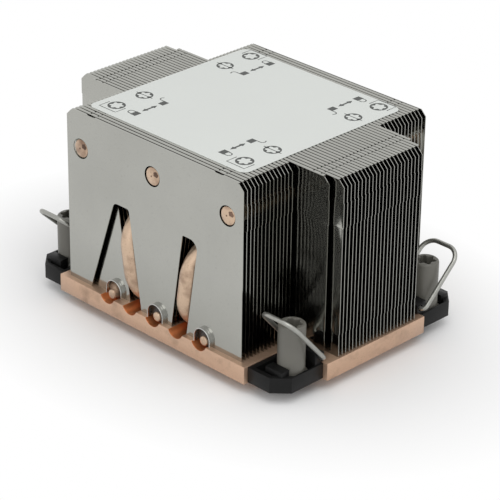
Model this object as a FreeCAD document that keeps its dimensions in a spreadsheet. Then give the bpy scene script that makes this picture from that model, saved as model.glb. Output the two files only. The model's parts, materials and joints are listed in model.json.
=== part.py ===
import FreeCAD
import Part
import Sketcher
import math
import os

# Passive heatsink for a two-unit server's processor, in millimetres.
# X runs across the stack of fins, Y along the fins with the air, Z up.
# The origin is the middle of the contact face that presses on the processor.

SIZES = (
    ("overall_height", 64.0, "contact face to the top of the label"),
    ("base_width", 78.0, "copper base across the fins"),
    ("base_length", 108.0, "copper base along the fins"),
    ("base_top", 8.9, "height of the face that the fins stand on"),
    ("plate_thickness", 5.5, "copper base above its contact step"),
    ("contact_width", 56.0, "step that touches the processor, across"),
    ("contact_length", 76.0, "step that touches the processor, along"),
    ("corner_width", 7.5, "bolster stud to the cut corner of the base, across"),
    ("corner_length", 7.7, "bolster stud to the cut corner of the base, along"),
    ("fin_pitch", 1.453, "one fin to the next"),
    ("fin_gauge", 0.4, "sheet of the fins"),
    ("side_count", 13, "short fins on each side"),
    ("slotted_count", 10, "short fins on each side that the bent pipes pass through"),
    ("centre_count", 22, "long fins in the middle, of one length"),
    ("side_half", 36.5, "half length of a short fin"),
    ("step_half", 49.1, "half length of a fin beside the nuts"),
    ("centre_half", 53.35, "half length of a long fin"),
    ("fin_chamfer", 2.1, "top corners of the fins"),
    ("flange_gap", 0.06, "folded flange to the next fin"),
    ("label_thickness", 0.12, "label on the flanges"),
    ("label_width", 64.4, "label across the fins"),
    ("label_length", 64.6, "label along the fins"),
    ("label_shift", 0.7, "middle of the label along the fins"),
    ("label_corner", 2.5, "rounded corners of the label"),
    ("pipe_diameter", 6.0, "heat pipes"),
    ("pipe_gap", 0.15, "heat pipe to the holes in the fins"),
    ("groove_gap", 0.06, "heat pipe to its groove in the base"),
    ("rim_gap", 0.15, "heat pipe to the round holes in the two outer fins"),
    ("low_run", 10.1, "height of the pipes in the base"),
    ("low_pitch", 9.75, "one pipe to the next in the base"),
    ("low_centre", -1.3, "middle pipe in the base"),
    ("mid_run", 36.0, "height of the two pipes half way up the fins"),
    ("mid_pitch", 27.7, "those two pipes apart"),
    ("mid_centre", -1.15, "middle of those two pipes"),
    ("high_run", 11.38, "top of the fins down to the three pipes near it"),
    ("high_pitch", 30.5, "one of those three pipes to the next"),
    ("high_lift", 1.6, "middle one of those three above the other two"),
    ("bend_radius", 9.8, "bends of the pipes, on their middle line"),
    ("bend_bulge", 1.3, "riser past the face of the outer fin"),
    ("tip_reach", 1.1, "tapered end of a pipe past the outer fin"),
    ("tip_length", 1.6, "taper at the end of a pipe"),
    ("tip_diameter", 3.0, "small end of that taper"),
    ("arch_gap", 0.8, "tapered end to the arch in the outer fin"),
    ("collar_wall", 0.5, "bright collar round that arch"),
    ("collar_reach", 1.6, "that collar past the outer fin"),
    ("window_flare", 15.6, "foot of the window beside the first pipe, past a plain window"),
    ("stud_across", 56.0, "bolster studs, across"),
    ("stud_along", 94.0, "bolster studs, along"),
    ("stud_bore", 4.2, "thread of a nut"),
    ("thread_depth", 9.0, "depth of that thread"),
    ("nut_diameter", 8.0, "barrel of a nut"),
    ("nut_top", 22.3, "top of the nuts"),
    ("nut_flange", 9.2, "flange at the foot of a nut"),
    ("flange_thickness", 1.1, "that flange"),
    ("socket_outer", 5.6, "six-lobe socket, over its lobes"),
    ("socket_inner", 4.0, "six-lobe socket, between its lobes"),
    ("socket_depth", 4.0, "six-lobe socket"),
    ("run_gap", 0.12, "moving pieces to what holds them"),
    ("bracket_floor", 6.2, "height of the floor that a nut stands on"),
    ("floor_thickness", 2.4, "that floor"),
    ("bracket_gap", 0.1, "bracket to the cut corner of the base"),
    ("skirt_top", 8.6, "outer skirt of a bracket"),
    ("skirt_wall", 1.6, "that skirt"),
    ("skirt_end", 0.65, "that skirt at its end, beside the flange of the nut"),
    ("stud_clearance", 0.6, "stud to its hole in a bracket"),
    ("bracket_end", 5.4, "bolster stud to the end of a bracket, along the fins"),
    ("bracket_side", 9.6, "bolster stud to the side of a bracket, across the fins"),
    ("bracket_nose", 4.4, "slanted corner of a bracket"),
    ("lug_top", 12.2, "lug beyond a nut"),
    ("lug_width", 6.4, "that lug"),
    ("lug_depth", 2.3, "that lug, outward from the nut"),
    ("lug_hook", 1.4, "the lug over the flange of the nut"),
    ("lug_slope", 0.5, "fall of the lug's top, outward"),
    ("tower_top", 16.6, "hinge tower between a nut and the fins"),
    ("tower_width", 9.6, "that tower"),
    ("tower_depth", 3.6, "that tower across the fins"),
    ("tower_back", 2.25, "hinge to the slope on the back of that tower, upward"),
    ("hinge_across", 7.0, "bolster stud to the hinge of a bail, inward"),
    ("hinge_height", 10.6, "hinge of a bail"),
    ("wire_diameter", 1.5, "wire of a bail"),
    ("bail_leg", 19.5, "hinge to the cross wire"),
    ("bail_width", 12.3, "one leg to the other"),
    ("bail_bend", 2.6, "rounded corners of a bail"),
    ("pin_depth", 1.3, "foot of a bail inside its tower"),
    ("bail_angle", 45.0, "bail at rest, above level"),
)

# A nut, a bail and a bracket at each corner: name, side across, side along.
CORNERS = (
    ("front_left", -1, -1),
    ("front_right", 1, -1),
    ("rear_left", -1, 1),
    ("rear_right", 1, 1),
)


def even_angles(count, first=0.0):
    """Angles of the corners round a small round piece, the first one in degrees."""
    return [math.radians(first + 360.0 * i / count) for i in range(count)]


# Small round pieces are drawn with flat sides.
OCTAGON = even_angles(8, 22.5)
PIPE_SIDES = even_angles(12, 15.0)
COLLAR_SIDES = even_angles(16, 11.25)
FLANGE_SIDES = even_angles(16)
BARREL_SIDES = even_angles(20)
STAR = even_angles(12)

# Corners of an octagon from its middle, for each unit of the circle inside it.
OCTAGON_REACH = 1.0 / math.cos(math.radians(22.5))

# The pipe, from the rear, whose window in the outer fin is flared past the end of its neighbour.
FLARED_WINDOW = 2
FLARED_END = 1

# Straight chords that stand for a quarter turn of a pipe, of a bail's wire and of the label.
PIPE_CHORDS = 3
WIRE_CHORDS = 1
LABEL_CHORDS = 3


def make_sheet(doc):
    """Put every driving size in one spreadsheet."""
    sheet = doc.addObject("Spreadsheet::Sheet", "sizes")
    for row, (name, value, note) in enumerate(SIZES, 1):
        sheet.set(f"A{row}", name)
        sheet.set(f"B{row}", str(value))
        sheet.set(f"C{row}", note)
        sheet.setAlias(f"B{row}", name)
    doc.recompute()
    return sheet


doc = FreeCAD.newDocument("heatsink")
sheet = make_sheet(doc)
NAMES = {name: f"sizes.{name}" for name, _, _ in SIZES}
parts = []


def ex(text):
    """An expression on the sheet, written with the bare names of the sizes in braces."""
    return text.format(**NAMES)


def value(text):
    """What such an expression comes to now."""
    return float(sheet.evalExpression(ex(text)))


def add(part, name):
    """Keep a finished piece under the name of its file."""
    part.Label = name
    parts.append(part)
    return part


def new_body(name):
    body = doc.addObject("PartDesign::Body", name)
    body.AllowCompound = True
    return body


def new_sketch(body, name, role, offset="0"):
    """A sketch on one of the body's own planes, moved along that plane's normal."""
    plane = next(f for f in body.Origin.OriginFeatures if f.Role == role)
    sketch = body.newObject("Sketcher::SketchObject", name)
    sketch.AttachmentSupport = (plane, [""])
    sketch.MapMode = "FlatFace"
    sketch.setExpression("AttachmentOffset.Base.z", ex(offset))
    return sketch


def bind_point(sketch, curve, corner, x, y):
    """Hold one point of a sketch at two expressions."""
    for kind, text in (("DistanceX", x), ("DistanceY", y)):
        number = sketch.addConstraint(Sketcher.Constraint(kind, -1, 1, curve, corner, value(text)))
        sketch.setExpression(f"Constraints[{number}]", ex(text))


def draw_polygon(sketch, points):
    """A closed outline whose corners are pairs of expressions."""
    first = sketch.GeometryCount
    spots = [FreeCAD.Vector(value(x), value(y), 0) for x, y in points]
    count = len(points)
    for i in range(count):
        sketch.addGeometry(Part.LineSegment(spots[i], spots[(i + 1) % count]))
    for i in range(count):
        after = first + (i + 1) % count
        sketch.addConstraint(Sketcher.Constraint("Coincident", first + i, 2, after, 1))
    for i in range(count):
        bind_point(sketch, first + i, 1, *points[i])


def draw_path(sketch, points):
    """An open line through points that are pairs of expressions."""
    spots = [FreeCAD.Vector(value(x), value(y), 0) for x, y in points]
    for i in range(len(points) - 1):
        sketch.addGeometry(Part.LineSegment(spots[i], spots[i + 1]))
        bind_point(sketch, i, 1, *points[i])
    for i in range(len(points) - 2):
        sketch.addConstraint(Sketcher.Constraint("Coincident", i, 2, i + 1, 1))
    bind_point(sketch, len(points) - 2, 2, *points[-1])


def quarter(x, y, radius, first, chords):
    """Points of a quarter turn round a centre, from an angle in degrees, ends included."""
    points = []
    for i in range(chords + 1):
        angle = math.radians(first + 90.0 * i / chords)
        points.append((f"{x} + ({radius})*{math.cos(angle):.6f}",
                       f"{y} + ({radius})*{math.sin(angle):.6f}"))
    return points


def draw_circle(sketch, x, y, radius):
    """A circle with its centre and radius as expressions."""
    centre = FreeCAD.Vector(value(x), value(y), 0)
    number = sketch.addGeometry(Part.Circle(centre, FreeCAD.Vector(0, 0, 1), value(radius)))
    bind_point(sketch, number, 3, x, y)
    held = sketch.addConstraint(Sketcher.Constraint("Radius", number, value(radius)))
    sketch.setExpression(f"Constraints[{held}]", ex(radius))


def ring_points(angles, x, y, *radii):
    """Corners round a centre, the radii taken in turn."""
    points = []
    for i, angle in enumerate(angles):
        radius = radii[i % len(radii)]
        points.append((f"{x} + ({radius})*{math.cos(angle):.6f}",
                       f"{y} + ({radius})*{math.sin(angle):.6f}"))
    return points


def rectangle(x0, x1, y0, y1):
    return [(x0, y0), (x1, y0), (x1, y1), (x0, y1)]


def pad(body, sketch, name, length):
    """Thicken a sketch along its plane's normal."""
    feature = body.newObject("PartDesign::Pad", name)
    feature.Profile = sketch
    feature.setExpression("Length", ex(length))
    return feature


def cut(body, sketch, name, length, forward=True):
    """Cut a sketch into the body, along its plane's normal or against it."""
    doc.recompute()
    before = body.Shape.Volume
    feature = body.newObject("PartDesign::Pocket", name)
    feature.Profile = sketch
    feature.Reversed = forward
    feature.setExpression("Length", ex(length))
    doc.recompute()
    if not body.Shape.Volume < before - 0.001:
        raise RuntimeError(f"{name} of {body.Name} cuts nothing")
    return feature


def place(part, x="0", y="0", z="0", rotation=None):
    """Put a piece where three expressions say."""
    if rotation is not None:
        part.Placement = FreeCAD.Placement(FreeCAD.Vector(), rotation)
    for axis, text in (("x", x), ("y", y), ("z", z)):
        part.setExpression(f"Placement.Base.{axis}", ex(text))


STACK_HALF = "(({side_count} + {centre_count}/2 + 1.5)*{fin_pitch} + {fin_gauge}/2)"
FIN_TOP = "({overall_height} - {label_thickness})"
HIGH_RUN = f"({FIN_TOP} - {{high_run}})"
CORNER_X = "({stud_across}/2 - {corner_width})"
CORNER_Y = "({stud_along}/2 - {corner_length})"
HINGE_X = "({stud_across}/2 - {hinge_across})"
PIPE_RADIUS = "{pipe_diameter}/2"
LOW_ROWS = [f"({{low_centre}} + {k}*{{low_pitch}})" for k in (2, 1, 0, -1, -2)]
MID_ROWS = ["({mid_centre} + {mid_pitch}/2)", "({mid_centre} - {mid_pitch}/2)"]
HIGH_ROWS = ["{high_pitch}", "0", "(-{high_pitch})"]

# The pipes from the rear to the front: row in the base, row in the fins, height there and
# the side on which the pipe turns up. A pipe ends on the other side.
PIPES = (
    (LOW_ROWS[0], HIGH_ROWS[0], HIGH_RUN, 1),
    (LOW_ROWS[1], MID_ROWS[0], "{mid_run}", -1),
    (LOW_ROWS[2], HIGH_ROWS[1], f"({HIGH_RUN} + {{high_lift}})", 1),
    (LOW_ROWS[3], MID_ROWS[1], "{mid_run}", -1),
    (LOW_ROWS[4], HIGH_ROWS[2], HIGH_RUN, 1),
)


def base_plate():
    """Copper base: plate with cut corners, contact step below, five grooves for the pipes."""
    body = new_body("base_plate")
    across, along = "{base_width}/2", "{base_length}/2"
    outline = [(f"-{across}", f"-{CORNER_Y}"), (f"-{CORNER_X}", f"-{CORNER_Y}"),
               (f"-{CORNER_X}", f"-{along}"), (CORNER_X, f"-{along}"),
               (CORNER_X, f"-{CORNER_Y}"), (across, f"-{CORNER_Y}"),
               (across, CORNER_Y), (CORNER_X, CORNER_Y), (CORNER_X, along),
               (f"-{CORNER_X}", along), (f"-{CORNER_X}", CORNER_Y), (f"-{across}", CORNER_Y)]
    plate = new_sketch(body, "plate_outline", "XY_Plane", "{base_top} - {plate_thickness}")
    draw_polygon(plate, outline)
    pad(body, plate, "plate", "{plate_thickness}")
    step = new_sketch(body, "step_outline", "XY_Plane")
    draw_polygon(step, rectangle("-{contact_width}/2", "{contact_width}/2",
                                 "-{contact_length}/2", "{contact_length}/2"))
    pad(body, step, "contact_step", "{base_top} - {plate_thickness}")
    grooves = new_sketch(body, "groove_outline", "YZ_Plane", f"-{across}")
    for row in LOW_ROWS:
        draw_circle(grooves, row, "{low_run}", f"{PIPE_RADIUS} + {{groove_gap}}")
    cut(body, grooves, "grooves", "{base_width}")
    return add(body, "base_plate")


def sweep(body, path, section, name):
    """A wire or pipe of one section along a path, mitred where the path turns."""
    swept = body.newObject("PartDesign::AdditivePipe", name)
    swept.Profile = section
    swept.Spine = path
    swept.Transition = "Right corner"


def heat_pipe(number, low, row, height, side):
    """One pipe: tapered end, run in the base, two bends with a riser, run through the fins."""
    name = f"heat_pipe_{number}"
    body = new_body(name)
    gap = f"((({height}) - {{low_run}})^2 + ({row} - {low})^2)^0.5"
    bend = f"({STACK_HALF} + {{bend_bulge}} - {PIPE_RADIUS} - {{bend_radius}})"
    radius = "{bend_radius}"
    start = f"(-{STACK_HALF} - {{tip_reach}} + {{tip_length}})"
    path = new_sketch(body, f"{name}_path", "XY_Plane")
    draw_path(path, [(start, "0"),
                     *quarter(bend, radius, radius, -90, PIPE_CHORDS),
                     *quarter(bend, f"{gap} - {radius}", radius, 0, PIPE_CHORDS),
                     (f"-{STACK_HALF}", gap)])
    section = new_sketch(body, f"{name}_section", "YZ_Plane", start)
    draw_polygon(section, ring_points(PIPE_SIDES, "0", "0", PIPE_RADIUS))
    sweep(body, path, section, f"{name}_run")
    nub = new_sketch(body, f"{name}_nub", "YZ_Plane", f"{start} - {{tip_length}}")
    draw_polygon(nub, ring_points(PIPE_SIDES, "0", "0", "{tip_diameter}/2"))
    tip = body.newObject("PartDesign::AdditiveLoft", f"{name}_tip")
    tip.Profile = nub
    tip.Sections = [section]
    tip.Ruled = True
    run = FreeCAD.Vector(side, 0, 0)
    rise = FreeCAD.Vector(0, value(f"{row} - {low}"), value(f"({height}) - {{low_run}}")).normalize()
    tilt = FreeCAD.Rotation(run, rise, run.cross(rise), "XYZ")
    place(body, "0", low, "{low_run}", tilt)
    return add(body, name)


def fin_outline(low, high):
    """Sheet outline with cut top corners, from one end along the fins to the other."""
    shoulder = f"{FIN_TOP} - {{fin_chamfer}}"
    return [(low, "{base_top}"), (high, "{base_top}"), (high, shoulder),
            (f"{high} - {{fin_chamfer}}", FIN_TOP), (f"{low} + {{fin_chamfer}}", FIN_TOP),
            (low, shoulder)]


def slot_outline(low, row, height):
    """Slanted slot round a riser, from the base to above the upper bend."""
    slope = f"(({row} - {low})/({height} - {{low_run}}))"
    half = f"(({PIPE_RADIUS} + {{pipe_gap}})*(1 + {slope}^2)^0.5)"
    foot = f"({low} - {slope}*({{low_run}} - {{base_top}}))"
    head = f"({row} + {slope}*{half})"
    return [(f"{foot} - {half}", "{base_top}"), (f"{foot} + {half}", "{base_top}"),
            (f"{head} + {half}", f"{height} + {half}"), (f"{head} - {half}", f"{height} + {half}")]


def fin_sheet(name, first, low, high, flanged=True):
    """One fin at its place in the stack, with the flange that reaches the next fin."""
    body = new_body(name)
    sheet_outline = new_sketch(body, f"{name}_outline", "YZ_Plane")
    draw_polygon(sheet_outline, fin_outline(low, high))
    pad(body, sheet_outline, f"{name}_sheet", "{fin_gauge}")
    if flanged:
        flange = new_sketch(body, f"{name}_flange_outline", "YZ_Plane")
        draw_polygon(flange, rectangle(f"{low} + {{fin_chamfer}}", f"{high} - {{fin_chamfer}}",
                                       f"{FIN_TOP} - {{fin_gauge}}", FIN_TOP))
        pad(body, flange, f"{name}_flange", "{fin_pitch} - {flange_gap}")
    place(body, f"-{STACK_HALF} + ({first})*{{fin_pitch}}")
    return body


def add_collars(body, name, rows, side, reach):
    """Bright collars on a fin over the ends of the pipes, on that side, and the bores in them."""
    bore = f"({PIPE_RADIUS} + {{arch_gap}})"
    collars = new_sketch(body, f"{name}_collar_outline", "YZ_Plane",
                         f"-({reach})" if side < 0 else "0")
    inner = new_sketch(body, f"{name}_collar_bore", "YZ_Plane", f"-({reach}) - {{fin_gauge}}")
    for row in rows:
        draw_polygon(collars, ring_points(COLLAR_SIDES, row, "{low_run}",
                                          f"{bore} + {{collar_wall}}"))
        draw_polygon(inner, ring_points(COLLAR_SIDES, row, "{low_run}", bore))
    pad(body, collars, f"{name}_collars", f"{reach} + {{fin_gauge}}")
    cut(body, inner, f"{name}_arches", f"2*({reach}) + 3*{{fin_gauge}}")
    foot = new_sketch(body, f"{name}_foot_outline", "YZ_Plane", f"-({reach}) - {{fin_gauge}}")
    draw_polygon(foot, rectangle("-{side_half}", "{side_half}", "0", "{base_top}"))
    cut(body, foot, f"{name}_foot", f"2*({reach}) + 3*{{fin_gauge}}")


def fins(name, first, count, low, high, turning=0):
    """Like fins side by side. Inside the stack the holes for the round pipes are square."""
    body = fin_sheet(name, first, low, high)
    half = f"({PIPE_RADIUS} + {{pipe_gap}})"
    relief = new_sketch(body, f"{name}_relief_outline", "YZ_Plane")
    draw_polygon(relief, rectangle(f"{LOW_ROWS[4]} - {half}", f"{LOW_ROWS[0]} + {half}",
                                   "{base_top}", f"{{low_run}} + {half}"))
    cut(body, relief, f"{name}_relief", "{fin_gauge}")
    openings = new_sketch(body, f"{name}_pipe_openings", "YZ_Plane")
    for low_row, row, height, side in PIPES:
        if side != turning:
            draw_polygon(openings, rectangle(f"{row} - {half}", f"{row} + {half}",
                                             f"{height} - {half}", f"{height} + {half}"))
    cut(body, openings, f"{name}_holes", "{fin_gauge}")
    for number, (low_row, row, height, side) in enumerate(PIPES, 1):
        if side == turning:
            slot = new_sketch(body, f"{name}_slot_outline_{number}", "YZ_Plane")
            draw_polygon(slot, slot_outline(low_row, row, height))
            cut(body, slot, f"{name}_slot_{number}", "{fin_gauge}")
    if count != "1":
        rows = body.newObject("PartDesign::LinearPattern", f"{name}_stack")
        rows.TransformMode = "Whole shape"
        direction = next(f for f in body.Origin.OriginFeatures if f.Role == "X_Axis")
        rows.Direction = (direction, [""])
        rows.setExpression("Length", ex(f"(({count}) - 1)*{{fin_pitch}}"))
        rows.setExpression("Occurrences", ex(count))
        body.Tip = rows
    elif turning:
        row = PIPES[FLARED_END - 1][0]
        add_collars(body, name, [row], turning, "{collar_reach} + {fin_pitch}")
    return add(body, name)


def outer_fin(name, first, side):
    """Outermost fin: round holes where pipes end, windows where pipes turn, bright collars."""
    body = fin_sheet(name, first, "-{side_half}", "{side_half}", side < 0)
    holes = new_sketch(body, f"{name}_hole_outline", "YZ_Plane")
    windows, ends = [], []
    for number, (low_row, row, height, turn) in enumerate(PIPES, 1):
        if turn != side:
            draw_circle(holes, row, height, f"{PIPE_RADIUS} + {{rim_gap}}")
            if number != FLARED_END:
                ends.append(low_row)
            continue
        window = new_sketch(body, f"{name}_window_outline_{number}", "YZ_Plane")
        points = slot_outline(low_row, row, height)
        if number == FLARED_WINDOW:
            points[1] = (f"{points[1][0]} + {{window_flare}}", points[1][1])
        draw_polygon(window, points)
        windows.append(window)
    cut(body, holes, f"{name}_holes", "{fin_gauge}")
    for number, window in enumerate(windows, 1):
        cut(body, window, f"{name}_window_{number}", "{fin_gauge}")
    add_collars(body, name, ends, side, "{collar_reach}")
    return add(body, name)


def label():
    """Bare label on the folded flanges, with rounded corners."""
    body = new_body("label")
    outline = new_sketch(body, "label_outline", "XY_Plane")
    corner = "{label_corner}"
    x, y = f"({{label_width}}/2 - {corner})", f"({{label_length}}/2 - {corner})"
    corners = ((x, y, 0), (f"-{x}", y, 90), (f"-{x}", f"-{y}", 180), (x, f"-{y}", 270))
    points = []
    for across, along, first in corners:
        points += quarter(across, along, corner, first, LABEL_CHORDS)
    draw_polygon(outline, points)
    pad(body, outline, "label_sheet", "{label_thickness}")
    place(body, "0", "{label_shift}", FIN_TOP)
    return add(body, "label")


def nut(corner, across, along):
    """Captive nut: flanged barrel, six-lobe socket above, thread below."""
    name = f"nut_{corner}"
    body = new_body(name)
    top = "({nut_top} - {bracket_floor})"
    flange = new_sketch(body, f"{name}_flange_outline", "XY_Plane")
    draw_polygon(flange, ring_points(FLANGE_SIDES, "0", "0", "{nut_flange}/2"))
    pad(body, flange, f"{name}_flange", "{flange_thickness}")
    barrel = new_sketch(body, f"{name}_barrel_outline", "XY_Plane")
    draw_polygon(barrel, ring_points(BARREL_SIDES, "0", "0", "{nut_diameter}/2"))
    pad(body, barrel, f"{name}_barrel", top)
    thread = new_sketch(body, f"{name}_thread_outline", "XY_Plane")
    draw_circle(thread, "0", "0", "{stud_bore}/2")
    cut(body, thread, f"{name}_thread", "{thread_depth}")
    socket = new_sketch(body, f"{name}_socket_outline", "XY_Plane", f"{top} - {{socket_depth}}")
    draw_polygon(socket, ring_points(STAR, "0", "0", "{socket_outer}/2", "{socket_inner}/2"))
    cut(body, socket, f"{name}_socket", "{socket_depth}")
    place(body, f"{across}*{{stud_across}}/2", f"{along}*{{stud_along}}/2", "{bracket_floor}")
    return add(body, name)


def bail(corner, across, along):
    """Wire bail: two feet turned inward, two legs, a cross wire with rounded corners."""
    name = f"bail_{corner}"
    body = new_body(name)
    half = "{bail_width}/2"
    foot = "({tower_width}/2 + {run_gap})"
    leg, bend = "{bail_leg}", "{bail_bend}"
    path = new_sketch(body, f"{name}_path", "XY_Plane")
    draw_path(path, [("0", f"-{foot}"), ("0", f"-{half}"),
                     *quarter(f"{leg} - {bend}", f"{bend} - {half}", bend, -90, WIRE_CHORDS),
                     *quarter(f"{leg} - {bend}", f"{half} - {bend}", bend, 0, WIRE_CHORDS),
                     ("0", half), ("0", foot)])
    section = new_sketch(body, f"{name}_section", "XZ_Plane", foot)
    draw_polygon(section, ring_points(OCTAGON, "0", "0", "{wire_diameter}/2"))
    sweep(body, path, section, f"{name}_wire")
    for number, end in enumerate((f"{foot} - {{pin_depth}}", f"-{foot}"), 1):
        pin = new_sketch(body, f"{name}_pin_outline_{number}", "XZ_Plane", end)
        draw_circle(pin, "0", "0", "{wire_diameter}/2")
        pad(body, pin, f"{name}_pin_{number}", "{pin_depth}")
    swing = -value("{bail_angle}") if across > 0 else value("{bail_angle}") - 180.0
    place(body, f"{across}*{HINGE_X}", f"{along}*{{stud_along}}/2", "{hinge_height}",
          FreeCAD.Rotation(FreeCAD.Vector(0, 1, 0), swing))
    return add(body, name)


def bracket(corner, across, along):
    """Plastic corner bracket: floor and skirt, hinge tower for the bail, lug over the nut."""
    name = f"bracket_{corner}"
    body = new_body(name)

    def at(x, y):
        return (f"{across}*({x})", f"{along}*({y})")

    def box(x0, x1, y0, y1):
        return [at(x0, y0), at(x1, y0), at(x1, y1), at(x0, y1)]

    near_x = f"({CORNER_X} + {{bracket_gap}})"
    near_y = f"({CORNER_Y} + {{bracket_gap}})"
    nut_x, nut_y = "{stud_across}/2", "{stud_along}/2"
    side, end = f"({nut_x} + {{bracket_side}})", f"({nut_y} + {{bracket_end}})"
    nose, wall, thin = "{bracket_nose}", "{skirt_wall}", "{skirt_end}"
    floor = new_sketch(body, f"{name}_floor_outline", "XY_Plane",
                       "{bracket_floor} - {floor_thickness}")
    outline = [at(near_x, near_y), at(side, near_y), at(side, f"{end} - {nose}"),
               at(f"{side} - {nose}", end), at(near_x, end)]
    draw_polygon(floor, outline)
    pad(body, floor, f"{name}_floor", "{skirt_top} - {bracket_floor} + {floor_thickness}")
    well = new_sketch(body, f"{name}_well_outline", "XY_Plane", "{bracket_floor}")
    draw_polygon(well, [at(f"{near_x} + {wall}/2", f"{near_y} + {wall}"),
                        at(f"{side} - {wall}", f"{near_y} + {wall}"),
                        at(f"{side} - {wall}", f"{end} - {nose} - (2^0.5 - 1)*{wall}"),
                        at(f"{side} - {nose} - 2^0.5*{wall} + {thin}", f"{end} - {thin}"),
                        at(f"{near_x} + {wall}/2", f"{end} - {thin}")])
    cut(body, well, f"{name}_well", "{skirt_top} - {bracket_floor}")
    tower = new_sketch(body, f"{name}_tower_outline", "XZ_Plane",
                       f"-{along}*({nut_y}) - {{tower_width}}/2")
    tower_x = "({stud_across}/2 - {nut_flange}/2 - {run_gap})"
    over = "({base_top} + {bracket_gap})"
    back = f"({tower_x} - {{tower_depth}})"
    tower_points = [(near_x, "{bracket_floor}"), (tower_x, "{bracket_floor}"),
                    (tower_x, "{tower_top}"), (f"{tower_x} - {{tower_depth}}/2", "{tower_top}"),
                    (back, "{hinge_height} + {tower_back}"), (back, over), (near_x, over)]
    draw_polygon(tower, [(f"{across}*({x})", z) for x, z in tower_points])
    pad(body, tower, f"{name}_tower", "{tower_width}")
    lug = new_sketch(body, f"{name}_lug_outline", "XZ_Plane",
                     f"-{along}*({nut_y}) - {{lug_width}}/2")
    root = "({stud_across}/2 + {nut_flange}/2 + {run_gap})"
    under = "({bracket_floor} + {flange_thickness} + {run_gap})"
    outer = f"({root} + {{lug_depth}})"
    face = f"({nut_x} + {{nut_diameter}}/2 + {{run_gap}})"
    lug_points = [(root, "{bracket_floor}"), (outer, "{bracket_floor}"),
                  (outer, "{lug_top} - {lug_slope}"), (f"{outer} - {{lug_depth}}/2", "{lug_top}"),
                  (f"{root} - {{lug_hook}}/2", "{lug_top}"), (face, "{lug_top} - {lug_hook}"),
                  (face, under), (root, under)]
    draw_polygon(lug, [(f"{across}*({x})", z) for x, z in lug_points])
    pad(body, lug, f"{name}_lug", "{lug_width}")
    passage = new_sketch(body, f"{name}_stud_outline", "XY_Plane",
                         "{bracket_floor} - {floor_thickness}")
    draw_polygon(passage, [(f"{across}*{nut_x} + {x}", f"{along}*{nut_y} + {y}")
                           for x, y in ring_points(OCTAGON, "0", "0",
                                                   "{stud_bore}/2 + {stud_clearance}")])
    cut(body, passage, f"{name}_stud_hole", "{floor_thickness}")
    for sign, forward in ((1, False), (-1, True)):
        edge = f"({along}*({nut_y}) + {sign}*{{tower_width}}/2)"
        pin = new_sketch(body, f"{name}_pin_outline_{sign + 1}", "XZ_Plane", f"-{edge}")
        draw_polygon(pin, ring_points(OCTAGON, f"{across}*{HINGE_X}", "{hinge_height}",
                                      f"({{wire_diameter}}/2 + {{run_gap}})*{OCTAGON_REACH:.6f}"))
        cut(body, pin, f"{name}_pin_hole_{sign + 1}", "{pin_depth} + {run_gap}", not forward)
    return add(body, name)


def build():
    """Every piece, from the base up."""
    base_plate()
    for number, pipe in enumerate(PIPES, 1):
        heat_pipe(number, *pipe)
    last = "2*{side_count} + {centre_count} + 3"
    side, step, centre = "{side_half}", "{step_half}", "{centre_half}"
    plain = "({side_count} - 1 - {slotted_count})"
    outer_fin("fin_outer_left", "0", -1)
    fins("fin_backing_left", "1", "1", f"-{side}", side, -1)
    fins("fins_slotted_left", "2", "{slotted_count} - 1", f"-{side}", side, -1)
    fins("fins_side_left", "1 + {slotted_count}", plain, f"-{side}", side)
    fins("fin_step_left", "{side_count}", "1", f"-{side}", step)
    fins("fin_shoulder_left", "{side_count} + 1", "1", f"-{step}", centre)
    fins("fins_centre", "{side_count} + 2", "{centre_count}", f"-{centre}", centre)
    fins("fin_shoulder_right", "{side_count} + 2 + {centre_count}", "1", f"-{centre}", step)
    fins("fin_step_right", "{side_count} + 3 + {centre_count}", "1", f"-{step}", side)
    fins("fins_side_right", "{side_count} + 4 + {centre_count}", plain, f"-{side}", side)
    fins("fins_slotted_right", f"{last} - {{slotted_count}}", "{slotted_count}",
         f"-{side}", side, 1)
    outer_fin("fin_outer_right", last, 1)
    label()
    for corner in CORNERS:
        bracket(*corner)
        nut(*corner)
        bail(*corner)
    doc.recompute()


def check():
    """Stop before anything is written if an object failed."""
    for item in doc.Objects:
        if "Invalid" in item.State or "Error" in item.State:
            raise RuntimeError(f"{item.Name} failed: {item.State}")
    for part in parts:
        if part.Shape.isNull() or not part.Shape.isValid():
            raise RuntimeError(f"{part.Label} has no valid shape")


def write():
    """One file for each piece, under its own name."""
    os.makedirs("parts", exist_ok=True)
    for part in parts:
        part.Shape.exportStep(f"parts/{part.Label}.step")


build()
check()
write()
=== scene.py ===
import json
import math
import random

import bmesh
import bpy
from bpy.props import FloatProperty, FloatVectorProperty, IntProperty, PointerProperty
from mathutils import Matrix, Vector


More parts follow.
